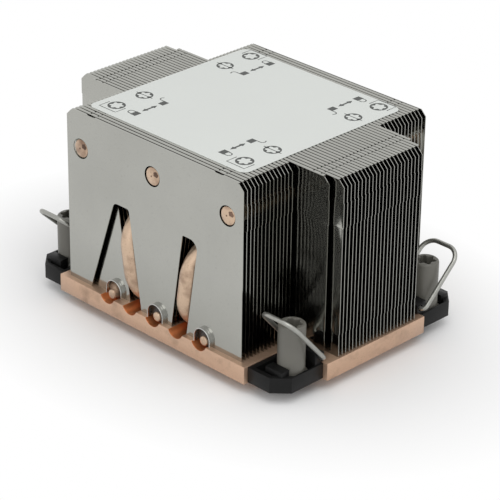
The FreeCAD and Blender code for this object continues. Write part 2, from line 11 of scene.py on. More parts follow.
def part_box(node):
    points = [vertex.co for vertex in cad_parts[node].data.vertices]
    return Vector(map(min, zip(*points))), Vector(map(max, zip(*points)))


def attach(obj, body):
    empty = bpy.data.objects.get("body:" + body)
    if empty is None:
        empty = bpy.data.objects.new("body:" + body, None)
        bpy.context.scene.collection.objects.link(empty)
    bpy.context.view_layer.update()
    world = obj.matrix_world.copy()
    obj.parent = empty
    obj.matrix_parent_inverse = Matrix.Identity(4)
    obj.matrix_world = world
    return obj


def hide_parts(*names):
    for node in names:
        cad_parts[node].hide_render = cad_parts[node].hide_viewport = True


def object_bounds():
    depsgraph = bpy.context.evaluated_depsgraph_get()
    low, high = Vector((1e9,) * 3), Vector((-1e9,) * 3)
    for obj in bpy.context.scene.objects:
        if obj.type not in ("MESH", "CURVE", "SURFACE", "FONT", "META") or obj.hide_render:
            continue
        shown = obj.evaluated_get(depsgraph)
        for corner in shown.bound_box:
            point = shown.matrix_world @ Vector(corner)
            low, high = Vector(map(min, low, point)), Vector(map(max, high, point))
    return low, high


bl_info = {
    "name": "Passive server heatsink",
    "version": (1, 0, 0),
    "blender": (4, 5, 0),
    "location": "View3D > Sidebar > Heatsink",
    "description": "Builds the looks of a passive heatsink for a two-unit server round its frame",
    "category": "Object",
}

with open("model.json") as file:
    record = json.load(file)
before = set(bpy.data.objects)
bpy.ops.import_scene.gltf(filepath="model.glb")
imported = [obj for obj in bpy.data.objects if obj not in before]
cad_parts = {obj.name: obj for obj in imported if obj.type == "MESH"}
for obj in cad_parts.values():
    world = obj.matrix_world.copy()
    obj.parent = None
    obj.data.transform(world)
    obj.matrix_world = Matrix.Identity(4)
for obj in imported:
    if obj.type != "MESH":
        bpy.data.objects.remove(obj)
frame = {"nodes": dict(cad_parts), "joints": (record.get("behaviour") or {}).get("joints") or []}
SIZE_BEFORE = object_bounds()
MM = 0.001
SAME_PLACE = 1e-7
ROOT = "heatsink"
CORNERS = {"front_left": (-1, -1), "front_right": (1, -1), "rear_left": (-1, 1), "rear_right": (1, 1)}

# Each pipe with the side on which it turns up and the way that its riser leans.
PIPE_TURNS = {1: (1, 1), 2: (-1, 1), 3: (1, 1), 4: (-1, -1), 5: (1, -1)}

# The pipe whose window in the outer fin is flared past the end of its neighbour.
FLARED_WINDOW = 2
FLARED_END = 1

# The bail that stands a little higher than the others, as they hang freely.
LIFTED_BAIL = "bail_front_left"

# Each group of fins with the side whose pipes turn inside it.
FIN_NODES = {
    "fin_outer_left": -1, "fin_backing_left": -1, "fins_slotted_left": -1, "fins_side_left": 0,
    "fin_step_left": 0, "fin_shoulder_left": 0, "fins_centre": 0, "fin_shoulder_right": 0,
    "fin_step_right": 0, "fins_side_right": 0, "fins_slotted_right": 1, "fin_outer_right": 1,
}


def length(name, description, millimetres):
    return FloatProperty(name=name, description=description, default=millimetres * MM,
                         unit="LENGTH", precision=5)


def rotation(name, description, degrees):
    return FloatProperty(name=name, description=description, default=math.radians(degrees),
                         unit="ROTATION")


def colour(name, description, default):
    return FloatVectorProperty(name=name, description=description, default=default,
                               subtype="COLOR", size=3, min=0.0, max=1.0)


class HeatsinkSizes(bpy.types.PropertyGroup):
    """Sizes of what is built round the frame."""

    fin_pitch: length("Fin pitch", "One fin to the next", 1.453)
    fin_gauge: length("Fin gauge", "Sheet of the fins", 0.22)
    fin_chamfer: length("Fin chamfer", "Cut top corners of the fins", 2.1)
    fold_radius: length("Fold radius", "Outside of the fold of a flange", 0.3)
    flange_gap: length("Flange gap", "Flange to the next fin", 0.62)
    zip_tab: length("Tab", "Length of an interlocking tab on a flange", 2.4)
    zip_slit: length("Slit", "Slit at each end of a tab", 0.5)
    zip_main: length("Main rows", "Rows of tabs from the middle, near", 26.5)
    zip_far: length("Far rows", "Rows of tabs from the middle, on the long fins", 44.2)
    pipe_diameter: length("Pipe diameter", "Heat pipes", 6.0)
    pipe_gap: length("Pipe gap", "Heat pipe to the holes in the fins", 0.15)
    rim_gap: length("Rim gap", "Heat pipe to the holes in the outer fins", 0.12)
    bend_radius: length("Bend radius", "Bends of the pipes, on their middle line", 9.8)
    end_waist: length("End waist", "Upper end of a pipe narrower than the pipe", 0.24)
    end_inset: length("End inset", "Upper end of a pipe inside the face of the outer fin", 0.05)
    nub_diameter: length("Nub", "Sealed end of a pipe", 2.9)
    collar_radius: length("Collar radius", "Inside of the arched collar round a sealed end", 3.0)
    collar_wall: length("Collar wall", "Bright collar round a sealed end", 0.3)
    collar_lift: length("Collar lift", "Middle of the collar above the pipe", 0.6)
    collar_shift: length("Collar shift", "Middle of the collar beside the pipe", 0.6)
    collar_reach: length("Collar reach", "Collar past the outer fin", 1.2)
    slot_lift: length("Slot lift", "Top of a slot above its pipe and the gap", 0.8)
    nub_shift: length("Nub shift", "Sealed end beside the middle line of its pipe", 1.1)
    window_flare: length("Window flare", "Foot of the flared window past a plain one", 15.6)
    wire_diameter: length("Wire", "Wire of the bails", 1.4)
    bail_leg: length("Bail leg", "Hinge to the cross wire", 20.4)
    bail_width: length("Bail width", "One leg to the other", 12.8)
    bail_bend: length("Bail bend", "Rounded corners of a bail", 4.2)
    bail_lift: rotation("Bail lift", "The lifted bail above its box's slope", 3.5)
    bail_droop: rotation("Bail droop", "The other bails below that slope", 1.2)
    foot_bend: length("Foot bend", "Bend from a leg to its foot", 1.4)
    foot_inset: length("Foot inset", "End of a foot from the middle of its bail", 3.5)
    nut_diameter: length("Nut", "Barrel of a nut", 8.0)
    socket_depth: length("Socket", "Depth of the six-lobe socket", 4.0)
    label_corner: length("Label corner", "Rounded corners of the label", 2.5)
    marks_shift: length("Marks shift", "Middle of the marks beside that of the label", 1.2)
    ring_sides: IntProperty(name="Ring sides", description="Sides of a round piece", default=48)


class HeatsinkColours(bpy.types.PropertyGroup):
    """Colours of the finishes."""

    fin: colour("Fin", "Rolled sheet", (0.40, 0.40, 0.37))
    copper: colour("Copper", "Clean satin copper", (0.60, 0.44, 0.315))
    stain: colour("Stain", "Heat stain on copper", (0.21, 0.125, 0.085))
    plate: colour("Plate", "Copper of the base", (0.60, 0.40, 0.28))
    # Painted shade: a darker, redder copper for the grooves under the pipes, standing for their shade
    # and the copper's reflections in them.
    groove_shade: colour("Groove shade", "Copper in the grooves under the pipes", (0.50, 0.17, 0.06))
    collar: colour("Collar", "Bright collar", (0.5, 0.5, 0.485))
    label: colour("Label", "Label film", (0.72, 0.745, 0.715))
    ink: colour("Ink", "Printed marks", (0.065, 0.07, 0.065))
    plastic: colour("Plastic", "Black corner brackets", (0.006, 0.006, 0.006))
    nut: colour("Nut", "Moulded nuts", (0.135, 0.13, 0.112))
    wire: colour("Wire", "Drawn steel wire", (0.34, 0.34, 0.315))
    floor: colour("Floor", "Studio floor", (0.95, 0.95, 0.95))


def sizes():
    return bpy.context.scene.heatsink_sizes


def colours():
    return bpy.context.scene.heatsink_colours


# Materials

def connect(tree, node, sockets):
    """Link each input to an output, or give it a plain value. A plain colour has three parts."""
    for key, source in sockets.items():
        socket = node.inputs[key]
        if isinstance(source, bpy.types.NodeSocket):
            tree.links.new(source, socket)
        elif socket.type == "RGBA":
            socket.default_value = (*source, 1.0)
        else:
            socket.default_value = source
    return node


def add_node(tree, kind, sockets=None, **settings):
    """A shader node with its settings and its inputs."""
    node = tree.nodes.new(f"ShaderNode{kind}")
    for name, value in settings.items():
        setattr(node, name, value)
    return connect(tree, node, sockets or {})


def node_group(name, inputs, outputs, fill):
    """A node group by its name, built once. The fill turns its inputs into its outputs."""
    group = bpy.data.node_groups.get(name)
    if group:
        return group
    group = bpy.data.node_groups.new(name, "ShaderNodeTree")
    for label, default in inputs.items():
        kind = "NodeSocketVector" if isinstance(default, tuple) else "NodeSocketFloat"
        socket = group.interface.new_socket(label, in_out="INPUT", socket_type=kind)
        socket.default_value = default
    for label in outputs:
        group.interface.new_socket(label, in_out="OUTPUT", socket_type="NodeSocketFloat")
    given = group.nodes.new("NodeGroupInput").outputs
    connect(group, group.nodes.new("NodeGroupOutput"), fill(group, given))
    return group


def object_place(tree):
    return add_node(tree, "TexCoord").outputs["Object"]


def cloud(tree, place, scale, detail):
    """Soft noise between zero and one."""
    return add_node(tree, "TexNoise", {"Vector": place, "Scale": scale, "Detail": detail}).outputs["Fac"]


def reckon(tree, operation, first, second):
    """One step of arithmetic on outputs or plain numbers."""
    return add_node(tree, "Math", {0: first, 1: second}, operation=operation).outputs["Value"]


def spread(tree, source, low, high, from_low=0.0, from_high=1.0):
    """A mask brought to another range."""
    return add_node(tree, "MapRange", {"Value": source, "From Min": from_low, "From Max": from_high,
                                       "To Min": low, "To Max": high}).outputs["Result"]


def blend_colour(tree, factor, first, second):
    """A colour between two plain ones or outputs, by a mask."""
    mix = add_node(tree, "Mix", {"Factor": factor, "A": first, "B": second}, data_type="RGBA")
    return mix.outputs["Result"]


def bumped(tree, height, strength, distance):
    """The normal of a fine bump."""
    return add_node(tree, "Bump", {"Height": height, "Strength": strength,
                                   "Distance": distance}).outputs["Normal"]


def scaled(shade, share):
    return tuple(part * share for part in shade)


def mottle_group():
    """Soft patches and fine specks, both as masks between zero and one."""

    def fill(group, given):
        place = object_place(group)
        soft = cloud(group, place, given["Scale"], detail=4.0)
        return {"Patches": spread(group, soft, 0.0, 1.0, given["Low"], given["High"]),
                "Specks": cloud(group, place, given["Speck Scale"], detail=2.0)}

    return node_group("Mottle", {"Scale": 60.0, "Low": 0.4, "High": 0.6, "Speck Scale": 900.0},
                      ("Patches", "Specks"), fill)


def mottle(tree, scale, low, high, specks):
    """The masks of the mottle group, placed with its own values."""
    values = {"Scale": scale, "Low": low, "High": high, "Speck Scale": specks}
    return add_node(tree, "Group", values, node_tree=mottle_group()).outputs


def grain_group():
    """Fine lines along one direction, as a height between zero and one."""

    def fill(group, given):
        stretched = add_node(group, "VectorMath", {0: object_place(group), 1: given["Stretch"]},
                        operation="MULTIPLY")
        return {"Height": cloud(group, stretched.outputs["Vector"], given["Scale"], detail=3.0)}

    return node_group("Grain", {"Stretch": (1.0, 1.0, 1.0), "Scale": 1.0}, ("Height",), fill)


def grain(tree, stretch):
    """The height of the grain group, placed with its own stretch."""
    return add_node(tree, "Group", {"Stretch": stretch}, node_tree=grain_group()).outputs["Height"]


def groove_group():
    """A mask for the skin of the round grooves that run along X, one pitch apart, where the base gets
    its painted shade.
    """

    def fill(group, given):
        split = add_node(group, "SeparateXYZ", {"Vector": object_place(group)}).outputs
        along = reckon(group, "SUBTRACT", split["Y"], given["First"])
        number = reckon(group, "ROUND", reckon(group, "DIVIDE", along, given["Pitch"]), 0.0)
        number = reckon(group, "MAXIMUM", number, 0.0)
        number = reckon(group, "MINIMUM", number, given["Last Row"])
        beside = reckon(group, "SUBTRACT", along, reckon(group, "MULTIPLY", number, given["Pitch"]))
        above = reckon(group, "SUBTRACT", split["Z"], given["Height"])
        squares = reckon(group, "ADD", reckon(group, "MULTIPLY", beside, beside),
                         reckon(group, "MULTIPLY", above, above))
        reach = reckon(group, "POWER", squares, 0.5)
        return {"Groove": reckon(group, "LESS_THAN", reach, given["Radius"])}

    inputs = {"Pitch": 0.01, "First": 0.0, "Last Row": 4.0, "Height": 0.0, "Radius": 0.003}
    return node_group("Grooves", inputs, ("Groove",), fill)


def new_material(name):
    material = bpy.data.materials.new(name)
    material.use_nodes = True
    return material, material.node_tree, material.node_tree.nodes["Principled BSDF"]


def fin_material():
    """Rolled sheet: faint lines along the roll, soft patches, a few dull specks."""
    material, tree, shader = new_material("rolled_sheet")
    shade = tuple(colours().fin)
    masks = mottle(tree, scale=45.0, low=0.3, high=0.7, specks=1400.0)
    base = blend_colour(tree, masks["Patches"], scaled(shade, 0.95), scaled(shade, 1.03))
    specks = spread(tree, masks["Specks"], 0.0, 0.35, from_low=0.62, from_high=0.75)
    connect(tree, shader, {
        "Base Color": blend_colour(tree, specks, base, scaled(shade, 0.7)),
        "Metallic": 1.0,
        "Roughness": spread(tree, masks["Patches"], 0.1, 0.16),
        "Normal": bumped(tree, grain(tree, stretch=(400.0, 60.0, 2600.0)), strength=0.03,
                         distance=0.01 * MM),
    })
    return material


def copper_material(name, clean, stain, roughness, low, high):
    """Bare copper with heat stains and fine drawing marks."""
    material, tree, shader = new_material(name)
    masks = mottle(tree, scale=170.0, low=low, high=high, specks=2600.0)
    stained = blend_colour(tree, masks["Patches"], clean, stain)
    specks = spread(tree, masks["Specks"], 0.0, 0.45, from_low=0.6, from_high=0.72)
    connect(tree, shader, {
        "Base Color": blend_colour(tree, specks, stained, scaled(stain, 0.9)),
        "Metallic": 0.72,
        "Roughness": spread(tree, masks["Patches"], roughness, roughness + 0.18),
        "Normal": bumped(tree, masks["Specks"], strength=0.25, distance=0.04 * MM),
    })
    return material


def pipe_material():
    """Satin copper of the pipes, stained in patches."""
    return copper_material("pipe_copper", tuple(colours().copper), tuple(colours().stain),
                           roughness=0.3, low=0.46, high=0.72)


def weld_material():
    """Burnt copper of the weld marks."""
    stain = tuple(colours().stain)
    return copper_material("weld", stain, scaled(stain, 0.5), roughness=0.4, low=0.4, high=0.6)


def plate_material():
    """Copper of the base, with painted shade in its grooves: a darker, redder copper for the shade and
    the copper's own reflections there.
    """
    clean = tuple(colours().plate)
    material = copper_material("plate_copper", clean, scaled(clean, 0.6), roughness=0.3, low=0.5,
                               high=0.8)
    tree = material.node_tree
    shader = tree.nodes["Principled BSDF"]
    plain = shader.inputs["Base Color"].links[0].from_socket
    lines = pipe_lines()
    rows = sorted(line["low_row"] for line in lines.values())
    shaded_skin = 0.14 * MM
    values = {"Pitch": (rows[-1] - rows[0]) / (len(rows) - 1), "First": rows[0],
              "Last Row": len(rows) - 1.0, "Height": lines[1]["low_run"],
              "Radius": sizes().pipe_diameter / 2 + shaded_skin}
    # Painted shade and copper reflection in the grooves under the pipes, laid on by the groove mask.
    groove = add_node(tree, "Group", values, node_tree=groove_group()).outputs["Groove"]
    connect(tree, shader, {"Base Color": blend_colour(tree, groove, plain, tuple(colours().groove_shade))})
    return material


def plain_material(name, shade, roughness, metallic=0.0, scale=120.0, bump=0.15, change=0.12,
                   gloss=0.5):
    """A plain finish with soft patches in its colour and gloss and a fine bump."""
    material, tree, shader = new_material(name)
    masks = mottle(tree, scale=scale, low=0.3, high=0.7, specks=3200.0)
    connect(tree, shader, {
        "Base Color": blend_colour(tree, masks["Patches"], scaled(shade, 1.0 - change),
                                   scaled(shade, 1.0 + change)),
        "Metallic": metallic,
        "Roughness": spread(tree, masks["Patches"], roughness - 0.06, roughness + 0.06),
        "Specular IOR Level": gloss,
        "Normal": bumped(tree, masks["Specks"], strength=bump, distance=0.03 * MM),
    })
    return material


def wire_material():
    """Drawn steel wire with fine lines."""
    material, tree, shader = new_material("drawn_wire")
    marks = grain(tree, stretch=(900.0, 500.0, 900.0))
    shade = tuple(colours().wire)
    connect(tree, shader, {
        "Base Color": blend_colour(tree, marks, scaled(shade, 0.8), scaled(shade, 1.2)),
        "Metallic": 0.8,
        "Roughness": 0.34,
        "Normal": bumped(tree, marks, strength=0.15, distance=0.02 * MM),
    })
    return material


def finish(name):
    """A finish by its name, made once. The frame's own plain materials have other names."""
    if name in bpy.data.materials:
        return bpy.data.materials[name]
    makers = {"rolled_sheet": fin_material, "pipe_copper": pipe_material, "weld": weld_material,
              "plate_copper": plate_material, "drawn_wire": wire_material}
    if name in makers:
        return makers[name]()
    shades = colours()
    plain = {
        # Flux residue with painted shade: a near-black brown for the hollow under each collar.
        "flux_and_shade": (scaled(shades.stain, 0.12), 0.4, {"change": 0.5, "scale": 900.0, "bump": 0.6}),
        "collar": (shades.collar, 0.18, {"metallic": 1.0, "change": 0.05}),
        "label_film": (shades.label, 0.5, {"scale": 40.0, "bump": 0.06, "change": 0.015}),
        "ink": (shades.ink, 0.55, {"change": 0.08}),
        "satin_black": (shades.plastic, 0.42, {"bump": 0.3, "gloss": 0.2}),
        "moulded_grey": (shades.nut, 0.42, {"bump": 0.2, "change": 0.07}),
    }
    shade, roughness, details = plain[name]
    return plain_material(name, shade, roughness, **details)


# Meshes

def add_object(name, data):
    """A new object, linked to the scene."""
    made = bpy.data.objects.new(name, data)
    bpy.context.scene.collection.objects.link(made)
    return made


def new_piece(name, mesh, material, body=ROOT, stands_for=()):
    """Link a mesh as a piece that rides on a body."""
    mesh.materials.clear()
    mesh.materials.append(finish(material))
    piece = add_object(name, mesh)
    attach(piece, body)
    if stands_for:
        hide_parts(*stands_for)
    return piece


def mesh_from(name, points, faces):
    mesh = bpy.data.meshes.new(name)
    mesh.from_pydata([tuple(p) for p in points], [], faces)
    mesh.update()
    return mesh


def mesh_of(name, made):
    """A mesh from an open one, which is closed."""
    mesh = bpy.data.meshes.new(name)
    made.to_mesh(mesh)
    made.free()
    return mesh


def shade_smooth(mesh, angle=35.0):
    """Smooth faces, with an edge kept sharp where its faces turn by more than an angle."""
    made = bmesh.new()
    made.from_mesh(mesh)
    for face in made.faces:
        face.smooth = True
    for edge in made.edges:
        if len(edge.link_faces) == 2:
            edge.smooth = edge.calc_face_angle(0.0) < math.radians(angle)
    made.to_mesh(mesh)
    made.free()
    return mesh


def clamped(share):
    return min(max(share, 0.0), 1.0)


def arc(centre, radius, start, end, steps):
    """Points round a centre in a plane, angles in degrees."""
    points = []
    for i in range(steps + 1):
        angle = math.radians(start + (end - start) * i / steps)
        points.append((centre[0] + radius * math.cos(angle), centre[1] + radius * math.sin(angle)))
    return points


def circle(centre, radius, sides):
    return arc(centre, radius, 0, 360 - 360 / sides, sides - 1)


def six_lobed(radius, angle, depth):
    """Radius of a six-lobed outline, less by up to twice a share of it between the lobes."""
    return radius * (1 - depth + depth * math.cos(6 * angle))


def rounded(points, radii, steps=6):
    """A closed outline with its corners rounded, one radius for each."""
    made = []
    count = len(points)
    for i, radius in enumerate(radii):
        here = Vector(points[i])
        before = (Vector(points[i - 1]) - here).normalized()
        after = (Vector(points[(i + 1) % count]) - here).normalized()
        if radius <= 0:
            made.append(tuple(here))
            continue
        half = before.angle(after) / 2
        reach = radius / math.tan(half)
        centre = here + (before + after).normalized() * (radius / math.sin(half))
        first = here + before * reach - centre
        second = here + after * reach - centre
        turn = first.angle_signed(second)
        for k in range(steps + 1):
            bent = Matrix.Rotation(-turn * k / steps, 2) @ first
            made.append(tuple(centre + bent))
    return made


def cut_sheet(outline, holes, thickness):
    """A flat sheet with holes, standing in the plane of Y and Z, from X 0 to its thickness."""
    curve = bpy.data.curves.new("outline", "CURVE")
    curve.dimensions = "2D"
    curve.fill_mode = "BOTH"
    curve.extrude = thickness / 2
    for loop in [outline, *holes]:
        spline = curve.splines.new("POLY")
        spline.points.add(len(loop) - 1)
        spline.use_cyclic_u = True
        for point, (y, z) in zip(spline.points, loop):
            point.co = (y, z, 0.0, 1.0)
    holder = bpy.data.objects.new("outline", curve)
    flat = bpy.data.meshes.new_from_object(holder)
    bpy.data.objects.remove(holder)
    bpy.data.curves.remove(curve)
    made = bmesh.new()
    made.from_mesh(flat)
    bpy.data.meshes.remove(flat)
    for vertex in made.verts:
        u, v, w = vertex.co
        vertex.co = (w + thickness / 2, u, v)
    bmesh.ops.remove_doubles(made, verts=made.verts, dist=SAME_PLACE)
    return made


def add_mesh(into, other):
    """Put one open mesh in another."""
    loose = mesh_of("loose", other)
    into.from_mesh(loose)
    bpy.data.meshes.remove(loose)


def band(count, sides):
    """Faces between rings of points that follow one another."""
    faces = []
    for i in range(count - 1):
        for k in range(sides):
            a, b = i * sides + k, i * sides + (k + 1) % sides
            faces.append((a, b, b + sides, a + sides))
    return faces


def ends(count, sides):
    """The faces that close the first and the last ring."""
    return [tuple(range(sides))[::-1], tuple((count - 1) * sides + k for k in range(sides))]


def tube(points, normal, radii, sides):
    """A round bar along points that lie in one plane with the given normal."""
    made = []
    count = len(points)
    for i, point in enumerate(points):
        before = points[max(i - 1, 0)]
        after = points[min(i + 1, count - 1)]
        ahead = (after - before).normalized()
        across = ahead.cross(normal).normalized()
        for k in range(sides):
            angle = 2 * math.pi * k / sides
            made.append(point + radii[i] * (across * math.cos(angle) + normal * math.sin(angle)))
    return made, band(count, sides) + ends(count, sides)


def lathe(rings, sides, shape=None):
    """Rings of a radius and a height turned about Z. A shape changes the radius by the angle."""
    points = []
    for number, (radius, height) in enumerate(rings):
        for k in range(sides):
            angle = 2 * math.pi * k / sides
            reach = shape(number, radius, angle) if shape else radius
            points.append((reach * math.cos(angle), reach * math.sin(angle), height))
    return points, band(len(rings), sides) + ends(len(rings), sides)


# What the frame says about the pipes and fins

def pipe_lines():
    """Each pipe's rows and heights, read from its box."""
    lines = {}
    radius = sizes().pipe_diameter / 2
    for number, (side, lean) in PIPE_TURNS.items():
        low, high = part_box(f"heat_pipe_{number}")
        near, far = low.y + radius, high.y - radius
        lines[number] = {
            "side": side,
            "low_row": near if lean > 0 else far,
            "row": far if lean > 0 else near,
            "low_run": low.z + radius,
            "height": high.z - radius,
            "turn": (high.x if side > 0 else -low.x) - radius,
            "tip": -low.x if side > 0 else high.x,
        }
    return lines


def frame_half():
    """Half sizes of the whole frame."""
    low, high = SIZE_BEFORE
    return (Vector(high) - Vector(low)) / 2


def stack_half():
    """The outer face of an outermost fin from the middle."""
    return -(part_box("fins_slotted_left")[0].x - 2 * sizes().fin_pitch)


def fin_heights():
    """Foot and top of the fins."""
    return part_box("base_plate")[1].z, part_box("fins_centre")[1].z


def slot_points(line, gap):
    """The slanted slot of a pipe that turns up, from the base to above its bend."""
    foot, _ = fin_heights()
    slope = (line["row"] - line["low_row"]) / (line["height"] - line["low_run"])
    half = (sizes().pipe_diameter / 2 + gap) * math.hypot(1, slope)
    below = line["low_row"] - slope * (line["low_run"] - foot)
    above = line["row"] + slope * (half + sizes().slot_lift)
    top = line["height"] + half + sizes().slot_lift
    return [(below - half, foot), (below + half, foot), (above + half, top), (above - half, top)]


# Fins

def fin_outline(low, high, foot, top):
    chamfer, fold = sizes().fin_chamfer, sizes().fold_radius
    return [(low, foot), (high, foot), (high, top - chamfer), (high - chamfer + fold, top - fold),
            (low + chamfer - fold, top - fold), (low, top - chamfer)]


def flange_profile(reach, drop=0.0):
    """Section of the fold and the flange, closed, as pairs across and down from the top."""
    fold, gauge = sizes().fold_radius, sizes().fin_gauge
    outer = arc((fold, -fold), fold, 180, 90, 5)
    inner = arc((fold, -fold), fold - gauge, 90, 180, 5)
    return outer + [(reach, -drop), (reach, -gauge - drop)] + inner


def add_strip(made, profile, low, high, top):
    """A strip of constant section along Y, with its ends closed."""
    rings = []
    for y in (low, high):
        rings.append([made.verts.new((x, y, top + z)) for x, z in profile])
    count = len(profile)
    for i in range(count):
        k = (i + 1) % count
        made.faces.new((rings[0][i], rings[0][k], rings[1][k], rings[1][i]))
    made.faces.new(rings[0][::-1])
    made.faces.new(rings[1])


def add_flange(made, low, high, top, tabs=True):
    """The folded flange of a fin, nicked beside each tab. Without tabs it is pressed down there."""
    size = sizes()
    reach = size.fin_pitch - size.flange_gap
    nick_share, tab_share = 0.5, 1.1
    tab_drop, pressed_drop = 0.06 * MM, 0.5 * MM
    rows = [side * row for row in (size.zip_far, size.zip_main) for side in (-1, 1)]
    cursor = low
    plain, nick = flange_profile(reach), flange_profile(reach * nick_share)
    tab = flange_profile(reach * tab_share, tab_drop) if tabs else flange_profile(reach, pressed_drop)
    for row in sorted(r for r in rows if low + size.zip_tab < r < high - size.zip_tab):
        first, last = row - size.zip_tab / 2, row + size.zip_tab / 2
        add_strip(made, plain, cursor, first - size.zip_slit, top)
        add_strip(made, nick, first - size.zip_slit, first, top)
        add_strip(made, tab, first, last, top)
        add_strip(made, nick, last, last + size.zip_slit, top)
        cursor = last + size.zip_slit
    add_strip(made, plain, cursor, high, top)


def wave_sheet(made, low, high, foot, top, seed):
    """Set the slight waves of thin sheet into a fin, and the small jogs at its two ends."""
    pipe_height = pipe_lines()[1]["height"]
    jog_top, jog_foot, low_jog = pipe_height + 4.4 * MM, pipe_height - 3.2 * MM, foot + 7.2 * MM
    jog_out, low_jog_in, jog_edge = 0.2 * MM, 0.18 * MM, 0.1 * MM
    bent, eased = 0.7 * MM, 2.2 * MM
    bands, wave_number = 8, 160
    still_top, top_fade, foot_fade = 1.5 * MM, 2 * MM, 3 * MM
    cuts = [((0, 0, z + d), (0, 0, 1)) for z in (jog_top, jog_foot, low_jog)
            for d in (-jog_edge, jog_edge)]
    cuts += [((0, 0, foot + (top - foot) * k / bands), (0, 0, 1)) for k in range(1, bands)]
    cuts += [((0, y, 0), (0, 1, 0)) for d in (bent, eased) for y in (low + d, high - d)]
    for point, normal in cuts:
        bmesh.ops.bisect_plane(made, geom=made.verts[:] + made.edges[:] + made.faces[:],
                               plane_co=point, plane_no=normal, dist=1e-8)
    noise = random.Random(seed)
    phase, height = noise.uniform(0, 6.28), noise.uniform(0.01, 0.03) * MM
    lean = noise.uniform(-0.04, 0.04) * MM
    for vertex in made.verts:
        y, z = vertex.co.y, vertex.co.z
        share = clamped((top - still_top - z) / top_fade) * min((z - foot) / foot_fade, 1.0)
        near_end = clamped((eased - min(y - low, high - y)) / (eased - bent))
        shift = height * math.sin(z * wave_number + phase) + lean
        if jog_foot < z < jog_top:
            shift += jog_out * near_end
        if z < low_jog:
            shift -= low_jog_in * near_end
        vertex.co.x += shift * share


def inner_fin(low, high, turning, seed):
    """One inner fin with its pipe holes, slots and flange."""
    size = sizes()
    foot, top = fin_heights()
    half = size.pipe_diameter / 2 + size.pipe_gap
    notches, holes = [], []
    for line in pipe_lines().values():
        if line["side"] == turning:
            notches.append(slot_points(line, size.pipe_gap))
        else:
            holes.append(circle((line["row"], line["height"]), half, 24))
            climb = math.degrees(math.asin((line["low_run"] - foot) / half))
            notches.append(arc((line["low_row"], line["low_run"]), half, 180 + climb, -climb, 16))
    outline = with_notches(fin_outline(low, high, foot, top), notches, foot)
    made = cut_sheet(outline, holes, size.fin_gauge)
    wave_sheet(made, low, high, foot, top, seed)
    add_flange(made, low + size.fin_chamfer, high - size.fin_chamfer, top)
    return made


def outer_fin(low, high, side):
    """One outermost fin with its windows and arches. Only the left one has a flange."""
    size = sizes()
    foot, top = fin_heights()
    notches, holes = outer_openings(side)
    outline = with_notches(fin_outline(low, high, foot, top), notches, foot)
    made = cut_sheet(outline, holes, size.fin_gauge)
    if side < 0:
        add_flange(made, low + size.fin_chamfer, high - size.fin_chamfer, top, tabs=False)
    return made


def with_notches(outline, notches, foot):
    """The outline with notches let into its foot, from left to right."""
    near = 0.01 * MM
    ordered = []
    for notch in notches:
        at_foot = [i for i, p in enumerate(notch) if abs(p[1] - foot) < near]
        start = min(at_foot, key=lambda i: notch[i][0])
        turned = notch[start:] + notch[:start]
        if abs(turned[1][1] - foot) < near:
            turned = [turned[0]] + turned[:0:-1]
        ordered.append(turned)
    ordered.sort(key=lambda n: n[0][0])
    inside = [p for notch in ordered for p in notch]
    return [outline[0]] + inside + outline[1:]


def arch_middle(line):
    """Middle of the arched collar round a pipe's sealed end."""
    size = sizes()
    return line["low_row"] - line["side"] * size.collar_shift, line["low_run"] + size.collar_lift


def outer_openings(side):
    """Notches and round holes of an outermost fin."""
    size = sizes()
    foot, _ = fin_heights()
    hole_shift, hole_drop = 0.12 * MM, 0.06 * MM
    flared_corners, plain_corners = (2.0 * MM, 1.0 * MM), (0.5 * MM, 2.9 * MM)
    notches, holes = [], []
    for number, line in pipe_lines().items():
        if line["side"] == side:
            points, corners = slot_points(line, size.pipe_gap), plain_corners
            if number == FLARED_WINDOW:
                points[1] = (points[1][0] + size.window_flare, points[1][1])
                corners = flared_corners
            notches.append(rounded(points, (0, 0, *corners)))
        else:
            middle = line["row"] + hole_shift, line["height"] - hole_drop
            holes.append(circle(middle, size.pipe_diameter / 2 + size.rim_gap, 48))
            if number != FLARED_END:
                row, height = arch_middle(line)
                reach = size.collar_radius
                notches.append([(row - reach, foot), *arc((row, height), reach, 180, 0, 24),
                                (row + reach, foot)])
    return notches, holes


class HEATSINK_OT_fins(bpy.types.Operator):
    """Every fin, with folded flanges, interlocking tabs and the slight waves of thin sheet"""

    bl_idname = "heatsink.fins"
    bl_label = "Fins"

    def execute(self, context):
        pitch = sizes().fin_pitch
        places = {"fin_outer_left": -stack_half(), "fin_backing_left": -stack_half() + pitch,
                  "fin_outer_right": stack_half() - sizes().fin_gauge}
        for node, turning in FIN_NODES.items():
            low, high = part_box(node)
            first = places.get(node, low.x)
            count = 1 if node in places else max(round((high.x - low.x) / pitch), 1)
            group = bmesh.new()
            for i in range(count):
                place = first + i * pitch
                if node.startswith("fin_outer"):
                    fin = outer_fin(low.y, high.y, turning)
                else:
                    fin = inner_fin(low.y, high.y, turning, seed=round(place / MM * 10))
                bmesh.ops.translate(fin, verts=fin.verts, vec=(place, 0, 0))
                add_mesh(group, fin)
            mesh = mesh_of(f"{node}_sheet", group)
            new_piece(f"{node}_sheet", shade_smooth(mesh), "rolled_sheet",
                      stands_for=(node,))
        return {"FINISHED"}


